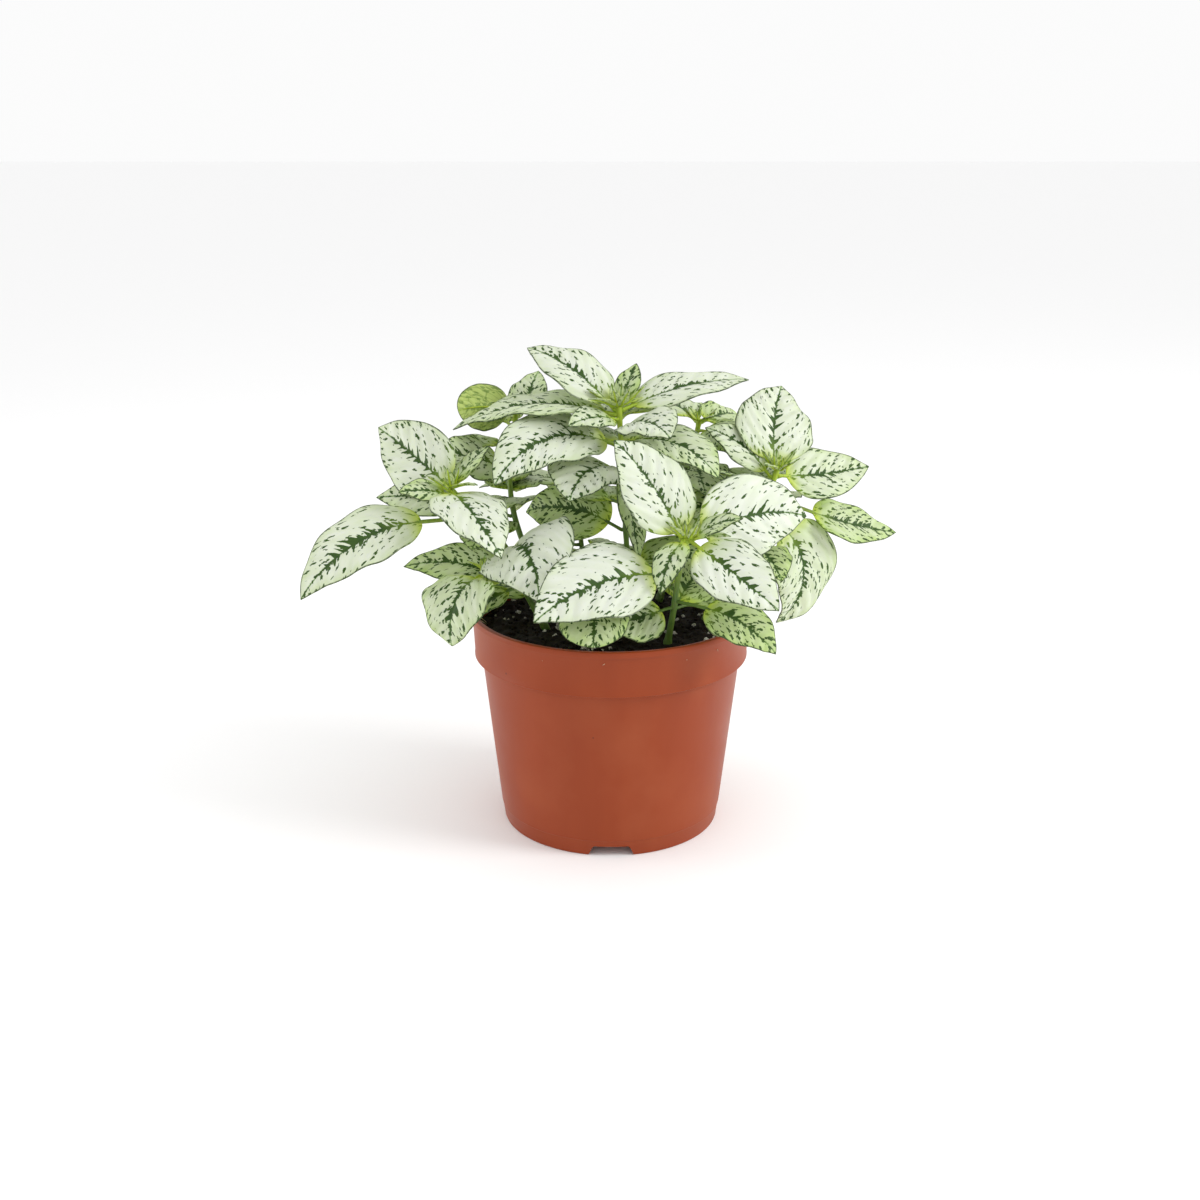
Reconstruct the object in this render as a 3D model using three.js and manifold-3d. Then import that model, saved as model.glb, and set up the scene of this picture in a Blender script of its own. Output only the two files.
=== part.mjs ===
// A polka dot plant in a 12 cm plastic nursery pot. Millimetres, +Z up, with the origin on the floor
// under the middle of the pot.
import * as THREE from "three";
import { mergeVertices } from "three/addons/utils/BufferGeometryUtils.js";
import Module from "manifold-3d";

const wasm = await Module();
wasm.setup();

// ---- Driving dimensions --------------------------------------------------------------------------

const POT_HEIGHT = 94.5;
const RIM_RADIUS = 60;
const BASE_RADIUS = 47;
const WALL = 1.4;
const BAND_HEIGHT = 19.5; // the deep collar under the lip
const BAND_STEP = 3; // how far the collar stands out from the tapered wall
const BEAD = 0.8; // the lip stands out from the collar by this much
const FOOT_HEIGHT = 4.5; // the base plate stands this far off the floor
const FOOT_WIDTH = 2.4;
const RING_LINE_HEIGHT = 7; // a faint moulded line round the wall
const RING_LINE_STEP = 0.3;
const NOTCH_TOP_WIDTH = 16;
const NOTCH_FLOOR_WIDTH = 20;
const NOTCH_COUNT = 3;
const DRAIN_RADIUS = 4;
const DRAIN_CIRCLE = 30;
const DRAIN_COUNT = 6;
const POT_SIDES = 54;

const SOIL_TOP = 88.5;
const SOIL_EDGE_DROP = 1.5; // the soil sinks this much where it meets the wall
const GAP = 0.3; // between pieces that rest on each other
const STEM_CLEARANCE = 0.9; // a slanting stem's foot stands this far off the soil

const STEM_RADIUS = 1.2;
const STEM_SIDES = 8;
const STEM_STEPS = 9;
const LEAF_THICKNESS = 0.7;
const STALK_WIDTH = 1.3;
const STALK_START = 2.1; // from the middle of the stem to the foot of a leaf stalk
const BLADE_STATIONS = 8;
const TIP_WIDTH = 0.5;
const LEAF_FOLD = 12; // degrees that each half rises from the midrib
const LEAF_CUP = 0.18; // share of the half width that the margin curls down again

// How a blade's half width grows from the stalk and shrinks to the tip.
const POINTED = { grow: 0.55, shrink: 0.95 };
const ROUNDED = { grow: 0.5, shrink: 0.5 };

// Each shoot runs through these points from the soil to its growing tip.
const SHOOTS = {
  left: [[-28, -12, SOIL_TOP], [-37, -14, 108], [-43, -16, 124], [-54, -19, 140], [-66, -20, 151]],
  low_left: [[-12, -14, SOIL_TOP], [-26, -21, 104], [-42, -27, 114], [-53, -30, 119]],
  middle: [[9, 5, SOIL_TOP], [7, 6, 115], [5, 5, 150], [3, 5, 181]],
  rear_left: [[-24, 8, SOIL_TOP], [-39, 5, 126], [-43, 12, 150], [-40, 22, 177]],
  small_front: [[-2, -26, SOIL_TOP], [-4, -34, 98], [-8, -42, 108]],
  front: [[23, -32, SOIL_TOP], [25, -35, 104], [27, -37, 121], [30, -38, 136]],
  right: [[42, 4, SOIL_TOP], [54, 4, 110], [63, 4, 133], [70, 5, 154]],
  rear_right: [[22, 28, SOIL_TOP], [30, 34, 115], [36, 38, 150], [39, 40, 168]],
  rear: [[-10, 28, SOIL_TOP], [-13, 36, 112], [-16, 42, 140]],
};

// A leaf leaves its shoot at a share of the way up (at), on a stalk, and aims at a heading (degrees
// from +X, seen from above) and a rise (degrees over level). Its size is length and width. Along the
// blade it droops and swings by so many degrees in all, and it is rolled about its midrib.
const LEAVES = {
  left: {
    left_far: { at: 0.75, aim: [200, 1], size: [60, 30], roll: 29, droop: 54, swing: 18, stalk: 22 },
    left_upper: { at: 0.98, aim: [149, 35], size: [44, 31], roll: 66, droop: 18, swing: -15, stalk: 2 },
    left_behind: { at: 0.85, aim: [164, 11], size: [36, 18], roll: 50, droop: 22, swing: 0, stalk: 3 },
    left_young_low: { at: 0.97, aim: [205, 20], size: [20, 14], roll: 30, droop: 25, swing: 5, stalk: 2 },
    left_young_high: { at: 0.99, aim: [35, 50], size: [21, 14], roll: 0, droop: 25, swing: 0, stalk: 2 },
    left_front: { at: 0.97, aim: [294, -3], size: [42, 32], roll: 0, droop: 50, swing: 25, stalk: 2 },
    left_under: { at: 0.66, aim: [260, 10], size: [25, 18], roll: 0, droop: 30, swing: 0, stalk: 4 },
    left_inner: { at: 0.5, aim: [294, 35], size: [43, 43], roll: -27, droop: 116, swing: -5, stalk: 3 },
  },
  low_left: {
    low_outer: { at: 0.6, aim: [172, 26], size: [44, 23], roll: 31, droop: 44, swing: 0, stalk: 4 },
    low_front: { at: 0.98, aim: [232, -1], size: [35, 35], roll: -4, droop: 112, swing: 10, stalk: 3 },
    low_by_soil: { at: 0.6, aim: [197, -18], size: [24, 14], roll: 20, droop: 15, swing: 0, stalk: 2 },
  },
  middle: {
    top_left: { at: 0.97, aim: [157, 48], size: [46, 27], roll: 19, droop: 44, swing: -15, stalk: 4 },
    top_right: { at: 0.97, aim: [19, 23], size: [54, 26], roll: -16, droop: 29, swing: 0, stalk: 4 },
    top_young_left: { at: 0.93, aim: [232, 20], size: [26, 16], roll: 25, droop: 40, swing: -15, stalk: 3 },
    top_young_back: { at: 0.99, aim: [65, 55], size: [20, 12], roll: 0, droop: 25, swing: 0, stalk: 2 },
    top_front_right: { at: 0.89, aim: [306, 30], size: [32, 28], roll: -17, droop: 62, swing: -5, stalk: 3 },
    middle_big_left: { at: 0.81, aim: [204, 26], size: [61, 34], roll: 27, droop: 75, swing: 25, stalk: 5 },
    middle_left_behind: { at: 0.95, aim: [176, 17], size: [66, 30], roll: 9, droop: 48, swing: 5, stalk: 4 },
    middle_right: { at: 0.82, aim: [328, 20], size: [48, 30], roll: -11, droop: 64, swing: -15, stalk: 3 },
    middle_right_low: { at: 0.74, aim: [315, 10], size: [33, 24], roll: -5, droop: 15, swing: 0, stalk: 3 },
    middle_front: { at: 0.7, aim: [229, 24], size: [40, 38], roll: 9, droop: 68, swing: 25, stalk: 4 },
    middle_hanging: { at: 0.68, aim: [280, -30], size: [40, 17], roll: 40, droop: 20, swing: 0, stalk: 4 },
    middle_shaded: { at: 0.45, aim: [160, 25], size: [44, 28], roll: 63, droop: 52, swing: -20, stalk: 6 },
  },
  rear_left: {
    rear_left_round: {
      at: 0.97, aim: [186, 16], size: [22, 21], roll: -112, droop: 30, swing: 5, stalk: 1, outline: ROUNDED,
    },
    rear_left_upright: { at: 0.95, aim: [65, 45], size: [24, 18], roll: -5, droop: 15, swing: 5, stalk: 3 },
    rear_left_low: { at: 0.7, aim: [215, 20], size: [32, 24], roll: 45, droop: 0, swing: 5, stalk: 3 },
  },
  small_front: {
    soil_round_left: {
      at: 0.97, aim: [271, 16], size: [23, 29], roll: -7, droop: 79, swing: -5, stalk: 3, outline: ROUNDED,
    },
  },
  front: {
    front_tall: { at: 0.95, aim: [161, 66], size: [45, 32], roll: 40, droop: 27, swing: 0, stalk: 3 },
    front_wide_right: { at: 0.95, aim: [24, 23], size: [52, 35], roll: -73, droop: 44, swing: 10, stalk: 6 },
    front_young_right: { at: 0.99, aim: [340, 42], size: [21, 13], roll: -25, droop: 35, swing: 0, stalk: 2 },
    front_young_low: { at: 0.97, aim: [235, -15], size: [25, 15], roll: 0, droop: 65, swing: 5, stalk: 2 },
    front_big_low: { at: 0.96, aim: [325, -24], size: [42, 31], roll: -26, droop: 6, swing: -5, stalk: 4 },
    front_big_left: { at: 0.64, aim: [206, 9], size: [57, 37], roll: 36, droop: 41, swing: 10, stalk: 9 },
    front_trailing: { at: 0.42, aim: [329, -2], size: [35, 25], roll: -23, droop: 42, swing: -5, stalk: 12 },
    soil_round_right: {
      at: 0.36, aim: [210, -5], size: [24, 25], roll: 35, droop: 0, swing: 5, stalk: 4, outline: ROUNDED,
    },
  },
  right: {
    right_top: { at: 0.985, aim: [90, 57], size: [40, 36], roll: -21, droop: 27, swing: -20, stalk: 3 },
    right_outer: { at: 0.95, aim: [16, -2], size: [39, 26], roll: -46, droop: -8, swing: 5, stalk: 3 },
    right_inner: { at: 0.93, aim: [165, 55], size: [32, 22], roll: 27, droop: 45, swing: 0, stalk: 3 },
    right_far: { at: 0.8, aim: [14, -21], size: [41, 24], roll: -34, droop: -9, swing: 0, stalk: 20 },
    right_hanging: { at: 0.7, aim: [350, -40], size: [48, 37], roll: -50, droop: 106, swing: 15, stalk: 10 },
    right_small: { at: 0.83, aim: [210, 35], size: [25, 14], roll: 0, droop: 25, swing: 0, stalk: 3 },
    right_rear: { at: 0.88, aim: [100, 10], size: [44, 28], roll: 0, droop: 40, swing: 0, stalk: 4 },
  },
  rear_right: {
    rear_right_top: { at: 0.97, aim: [45, 15], size: [28, 20], roll: -25, droop: 40, swing: 10, stalk: 3 },
    rear_right_front: { at: 0.9, aim: [300, 10], size: [28, 20], roll: -30, droop: 40, swing: -5, stalk: 3 },
    rear_right_back: { at: 0.97, aim: [120, 25], size: [30, 24], roll: 0, droop: 50, swing: 0, stalk: 4 },
    rear_right_low: { at: 0.75, aim: [60, 10], size: [36, 28], roll: 0, droop: 60, swing: 0, stalk: 5 },
  },
  rear: {
    rear_top: { at: 0.97, aim: [75, 20], size: [26, 22], roll: 0, droop: 60, swing: 0, stalk: 3 },
    rear_outer: { at: 0.97, aim: [175, 20], size: [40, 28], roll: 0, droop: 50, swing: 0, stalk: 3 },
    rear_low: { at: 0.6, aim: [110, 5], size: [34, 26], roll: 0, droop: 60, swing: 0, stalk: 4 },
  },
};

// ---- Finishes ------------------------------------------------------------------------------------

const finish = (color, roughness) => new THREE.MeshStandardMaterial({ color, roughness, metalness: 0 });
const potPlastic = () => finish("#a4523a", 0.45);
const peat = () => finish("#14110d", 0.95);
const stemSkin = () => finish("#7c9a3a", 0.55);
const leafSkin = () => finish("#e9f0dc", 0.5);

// ---- Solids --------------------------------------------------------------------------------------

function bare(geometry) {
  geometry.deleteAttribute("normal");
  geometry.deleteAttribute("uv");
  return mergeVertices(geometry, 1e-4);
}

function solidOf(geometry) {
  const merged = bare(geometry);
  const vertProperties = merged.attributes.position.array;
  const triVerts = new Uint32Array(merged.index.array);
  return new wasm.Manifold(new wasm.Mesh({ numProp: 3, vertProperties, triVerts }));
}

function geometryOf(solid) {
  const { vertProperties, triVerts } = solid.getMesh();
  const geometry = new THREE.BufferGeometry();
  geometry.setAttribute("position", new THREE.BufferAttribute(new Float32Array(vertProperties), 3));
  geometry.setIndex(new THREE.BufferAttribute(new Uint32Array(triVerts), 1));
  geometry.computeVertexNormals();
  return geometry;
}

// A closed solid of revolution about the Z axis, from [radius, height] points listed upwards outside.
function turned(points, sides) {
  const profile = points.map(([radius, height]) => new THREE.Vector2(radius, height));
  return new THREE.LatheGeometry(profile, sides).rotateX(Math.PI / 2);
}

function named(name, geometry, material) {
  const mesh = new THREE.Mesh(geometry, material);
  mesh.name = name;
  return mesh;
}

// ---- Pot -----------------------------------------------------------------------------------------

const BAND_FLOOR = POT_HEIGHT - BAND_HEIGHT;
const BODY_TOP_RADIUS = RIM_RADIUS - BEAD - BAND_STEP - 1;
const wallRadius = (z) => BASE_RADIUS + (BODY_TOP_RADIUS - BASE_RADIUS) * (z / BAND_FLOOR);

function potProfile() {
  const bandTop = RIM_RADIUS - BEAD;
  const bandFloor = bandTop - 0.8;
  const plateTop = FOOT_HEIGHT + WALL;
  const outside = [
    [0, FOOT_HEIGHT],
    [BASE_RADIUS - FOOT_WIDTH, FOOT_HEIGHT],
    [BASE_RADIUS - FOOT_WIDTH, 0],
    [BASE_RADIUS - 0.6, 0],
    [BASE_RADIUS, 0.8],
    [wallRadius(RING_LINE_HEIGHT), RING_LINE_HEIGHT],
    [wallRadius(RING_LINE_HEIGHT) + RING_LINE_STEP, RING_LINE_HEIGHT + RING_LINE_STEP],
    [wallRadius(BAND_FLOOR - 1) + RING_LINE_STEP, BAND_FLOOR - 1],
    [bandFloor - 1, BAND_FLOOR],
    [bandFloor, BAND_FLOOR + 1.2],
    [bandTop, POT_HEIGHT - 3],
    [RIM_RADIUS, POT_HEIGHT - 2],
    [RIM_RADIUS, POT_HEIGHT - 0.6],
    [RIM_RADIUS - 0.6, POT_HEIGHT],
  ];
  const inside = [
    [bandTop - WALL, POT_HEIGHT],
    [bandTop - WALL - 0.4, POT_HEIGHT - 1],
    [bandFloor - WALL, BAND_FLOOR + 2.4],
    [wallRadius(BAND_FLOOR) - WALL, BAND_FLOOR - 1],
    [wallRadius(plateTop) - WALL, plateTop],
    [0, plateTop],
  ];
  return [...outside, ...inside];
}

// A tapered block that cuts one opening through the foot ring.
function footNotch(turn) {
  const half = NOTCH_FLOOR_WIDTH / 2;
  const halfTop = NOTCH_TOP_WIDTH / 2;
  const shape = new THREE.Shape();
  shape.moveTo(-half, -1);
  shape.lineTo(half, -1);
  shape.lineTo(halfTop, FOOT_HEIGHT - 0.8);
  shape.lineTo(halfTop - 1, FOOT_HEIGHT);
  shape.lineTo(1 - halfTop, FOOT_HEIGHT);
  shape.lineTo(-halfTop, FOOT_HEIGHT - 0.8);
  shape.closePath();
  const reach = 2 * FOOT_WIDTH + 8;
  const block = new THREE.ExtrudeGeometry(shape, { depth: reach, bevelEnabled: false });
  block.rotateX(Math.PI / 2);
  block.translate(0, reach - BASE_RADIUS - 4, 0);
  return block.rotateZ(turn);
}

function makePot() {
  let pot = solidOf(turned(potProfile(), POT_SIDES));
  for (let i = 0; i < NOTCH_COUNT; i += 1) {
    pot = pot.subtract(solidOf(footNotch((i / NOTCH_COUNT) * 2 * Math.PI)));
  }
  for (let i = 0; i < DRAIN_COUNT; i += 1) {
    const turn = ((i + 0.5) / DRAIN_COUNT) * 2 * Math.PI;
    const hole = new THREE.CylinderGeometry(DRAIN_RADIUS, DRAIN_RADIUS, 4 * WALL, 16);
    hole.rotateX(Math.PI / 2);
    hole.translate(DRAIN_CIRCLE * Math.cos(turn), DRAIN_CIRCLE * Math.sin(turn), FOOT_HEIGHT + WALL / 2);
    pot = pot.subtract(solidOf(hole));
  }
  return named("pot", geometryOf(pot), potPlastic());
}

function makeSoil() {
  const floor = FOOT_HEIGHT + WALL + GAP;
  const inner = (z) => wallRadius(z) - WALL - GAP;
  const edge = SOIL_TOP - SOIL_EDGE_DROP;
  const profile = [
    [0, floor],
    [inner(floor) - GAP, floor],
    [inner(BAND_FLOOR - 1) - GAP, BAND_FLOOR - 1],
    [RIM_RADIUS - BEAD - WALL - 1.6, BAND_FLOOR + 3],
    [RIM_RADIUS - BEAD - WALL - 1.2, edge],
    [RIM_RADIUS - 12, SOIL_TOP],
    [0, SOIL_TOP],
  ];
  return named("soil", turned(profile, 40), peat());
}

// ---- Plant ---------------------------------------------------------------------------------------

const degrees = (angle) => (angle * Math.PI) / 180;
const heading3 = (heading, rise) =>
  new THREE.Vector3(
    Math.cos(rise) * Math.cos(heading),
    Math.cos(rise) * Math.sin(heading),
    Math.sin(rise),
  );

function shootCurve(points) {
  const vectors = points.map((point) => new THREE.Vector3(...point));
  vectors[0].z += STEM_CLEARANCE;
  return new THREE.CatmullRomCurve3(vectors, false, "catmullrom", 0.5);
}

function makeStem(name, curve) {
  const section = new THREE.Shape();
  section.absarc(0, 0, STEM_RADIUS, 0, 2 * Math.PI);
  const options = {
    steps: STEM_STEPS,
    curveSegments: STEM_SIDES / 2,
    extrudePath: curve,
    bevelEnabled: false,
  };
  return named(`stem_${name}`, bare(new THREE.ExtrudeGeometry(section, options)), stemSkin());
}

// The half width of a blade at a share s of its length, 1 at its widest.
function halfWidth(s, { grow, shrink }) {
  const widest = grow / (grow + shrink);
  return (s / widest) ** grow * ((1 - s) / (1 - widest)) ** shrink;
}

// The midrib's point, direction, side and upper normal at each station, from stalk foot to blade tip.
function midrib(leaf, curve) {
  const heading = degrees(leaf.aim[0]);
  const rise = degrees(leaf.aim[1]);
  const start = curve.getPoint(leaf.at);
  const along = curve.getTangent(leaf.at);
  const out = heading3(heading, rise);
  out.addScaledVector(along, -out.dot(along)).setLength(STALK_START);
  const point = start.add(out);
  const frameAt = (s) => {
    const h = heading + degrees(leaf.swing) * s;
    const r = rise - degrees(leaf.droop) * s;
    const forward = heading3(h, r);
    const level = new THREE.Vector3(Math.sin(h), -Math.cos(h), 0);
    const up = new THREE.Vector3().crossVectors(level, forward);
    const roll = degrees(leaf.roll);
    const side = level.clone().multiplyScalar(Math.cos(roll)).addScaledVector(up, Math.sin(roll));
    const normal = up.multiplyScalar(Math.cos(roll)).addScaledVector(level, -Math.sin(roll));
    return { forward, side, normal };
  };
  const stations = [{ point: point.clone(), half: STALK_WIDTH / 2, ...frameAt(0) }];
  point.addScaledVector(stations[0].forward, leaf.stalk);
  const step = leaf.size[0] / BLADE_STATIONS;
  for (let i = 0; i <= BLADE_STATIONS; i += 1) {
    const s = i / BLADE_STATIONS;
    const wide = (leaf.size[1] / 2) * halfWidth(s, leaf.outline ?? POINTED);
    const narrowest = s < 0.5 ? STALK_WIDTH / 2 : TIP_WIDTH / 2;
    stations.push({ point: point.clone(), half: Math.max(wide, narrowest), ...frameAt(s) });
    point.addScaledVector(frameAt(s + 0.5 / BLADE_STATIONS).forward, step);
  }
  return stations;
}

// A blade and its stalk: a thin box of stations whose grid is moved onto the leaf's curved surface.
function makeLeaf(name, leaf, curve) {
  const stations = midrib(leaf, curve);
  const last = stations.length - 1;
  const geometry = bare(new THREE.BoxGeometry(last, 2, 1, last, 2, 1));
  const fold = degrees(LEAF_FOLD);
  const position = geometry.attributes.position;
  for (let i = 0; i < position.count; i += 1) {
    const { point, half, side, normal } = stations[Math.round(position.getX(i) + last / 2)];
    const across = position.getY(i) * half;
    const lift = Math.abs(across) * Math.sin(fold) - LEAF_CUP * half * position.getY(i) ** 2;
    const height = lift + position.getZ(i) * LEAF_THICKNESS;
    const place = point.clone().addScaledVector(side, -across * Math.cos(fold));
    place.addScaledVector(normal, height);
    position.setXYZ(i, place.x, place.y, place.z);
  }
  geometry.computeVertexNormals();
  return named(`leaf_${name}`, geometry, leafSkin());
}

// ---- Assembly ------------------------------------------------------------------------------------

const plant = new THREE.Group();
for (const [shoot, points] of Object.entries(SHOOTS)) {
  const curve = shootCurve(points);
  plant.add(makeStem(shoot, curve));
  for (const [name, leaf] of Object.entries(LEAVES[shoot])) {
    plant.add(makeLeaf(name, leaf, curve));
  }
}

const potted = new THREE.Group();
potted.add(makePot(), makeSoil(), plant);

export default potted;
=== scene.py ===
"""A polka dot plant in a 12 cm plastic nursery pot, standing on a pale floor. Metres, +Z up."""

import math
import random
from collections import namedtuple

import bpy
from mathutils import Matrix, Vector, noise


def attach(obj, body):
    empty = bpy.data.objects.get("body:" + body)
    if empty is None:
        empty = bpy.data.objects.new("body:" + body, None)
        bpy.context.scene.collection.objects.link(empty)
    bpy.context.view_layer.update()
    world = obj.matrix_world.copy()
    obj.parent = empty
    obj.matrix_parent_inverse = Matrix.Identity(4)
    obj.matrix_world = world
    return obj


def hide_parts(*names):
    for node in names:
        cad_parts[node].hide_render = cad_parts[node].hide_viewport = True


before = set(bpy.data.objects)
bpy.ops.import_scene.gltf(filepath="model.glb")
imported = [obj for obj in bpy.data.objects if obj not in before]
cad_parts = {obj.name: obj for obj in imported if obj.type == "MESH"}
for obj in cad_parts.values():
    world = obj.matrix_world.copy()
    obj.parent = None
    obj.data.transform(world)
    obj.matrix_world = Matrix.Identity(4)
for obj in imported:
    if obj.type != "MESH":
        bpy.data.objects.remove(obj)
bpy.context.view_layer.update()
MM = 0.001

# ---- Camera --------------------------------------------------------------------------------------

eye = bpy.data.cameras.new("eye")
eye.sensor_width = 36
eye.lens = 44.16
camera = bpy.data.objects.new("eye", eye)
camera.location = (-0.00467, -0.6, 0.288)
camera.rotation_euler = (math.radians(72.36), 0, 0)
bpy.context.scene.collection.objects.link(camera)
bpy.context.scene.camera = camera

# ---- Measures, in millimetres --------------------------------------------------------------------

POT_HEIGHT = 94.5
RIM_RADIUS = 60
BASE_RADIUS = 47
BODY_TOP_RADIUS = 55.2
WALL = 1.4
BAND_FLOOR = 75
BAND_TOP_RADIUS = 59.2
BAND_FLOOR_RADIUS = 58.4
FOOT_HEIGHT = 4.5
FOOT_WIDTH = 2.4
RING_LINE_HEIGHT = 7
RING_LINE_STEP = 0.3
POT_STEPS = 144

# The openings through the foot ring and the drain holes in the base plate.
NOTCH_HEADINGS = (-90, 30, 150)
NOTCH_DEPTH, NOTCH_HEIGHT, NOTCH_CORNER = 20, 6, 0.9
NOTCH_FOOT, NOTCH_TOP = 10.2, 7.6  # half widths
DRAINS, DRAIN_RADIUS, DRAIN_CIRCLE = 6, 4, 30

SOIL_TOP = 88.5
SOIL_RADIUS = 56.6
SOIL_FOOT_RADIUS = 44.5
SOIL_BODY_RADIUS = 52.6
SOIL_RINGS, SOIL_STEPS = 62, 220
FRONT_ROOTS = (-93, -84, -118, -60)  # headings of the roots that show at the front rim
STEM_CLEARANCE = 0.9
STALK_START = 2.1  # out from the middle of the stem
LEAF_FOLD = math.radians(12)  # how steeply each half rises from the midrib
LEAF_CUP = 0.18  # how far the margin curls down, as a share of the half width
BLADE_THICKNESS = 0.42
SIDE_VEINS = (5.6, 6.8)  # fewest and most pairs on a leaf

# How a leaf widens from its base and narrows to its tip, as two powers.
POINTED = (0.55, 0.95)
ROUNDED = (0.5, 0.5)

# Each shoot runs through these points from the soil to its growing tip.
SHOOTS = {
    "left": [
        (-28, -12, SOIL_TOP), (-37, -14, 108), (-43, -16, 124), (-54, -19, 140), (-66, -20, 151),
    ],
    "low_left": [(-12, -14, SOIL_TOP), (-26, -21, 104), (-42, -27, 114), (-53, -30, 119)],
    "middle": [(9, 5, SOIL_TOP), (7, 6, 115), (5, 5, 150), (3, 5, 181)],
    "rear_left": [(-24, 8, SOIL_TOP), (-39, 5, 126), (-43, 12, 150), (-40, 22, 177)],
    "small_front": [(-2, -26, SOIL_TOP), (-4, -34, 98), (-8, -42, 108)],
    "front": [(23, -32, SOIL_TOP), (25, -35, 104), (27, -37, 121), (30, -38, 136)],
    "right": [(42, 4, SOIL_TOP), (54, 4, 110), (63, 4, 133), (70, 5, 154)],
    "rear_right": [(22, 28, SOIL_TOP), (30, 34, 115), (36, 38, 150), (39, 40, 168)],
    "rear": [(-10, 28, SOIL_TOP), (-13, 36, 112), (-16, 42, 140)],
}

# A leaf leaves its shoot at a share of the way up, on a stalk, and aims at a heading (degrees from
# +X, seen from above) and a rise (degrees over level). Along the blade it droops and swings by so
# many degrees in all, and it is rolled about its midrib. Green is how far its ground has kept the
# leaf's own green, band how broad the dark marks beside the midrib are, and outline its two powers.
Leaf = namedtuple(
    "Leaf",
    "at heading rise length width roll droop swing stalk green band outline",
    defaults=(0.8, POINTED),
)

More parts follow.
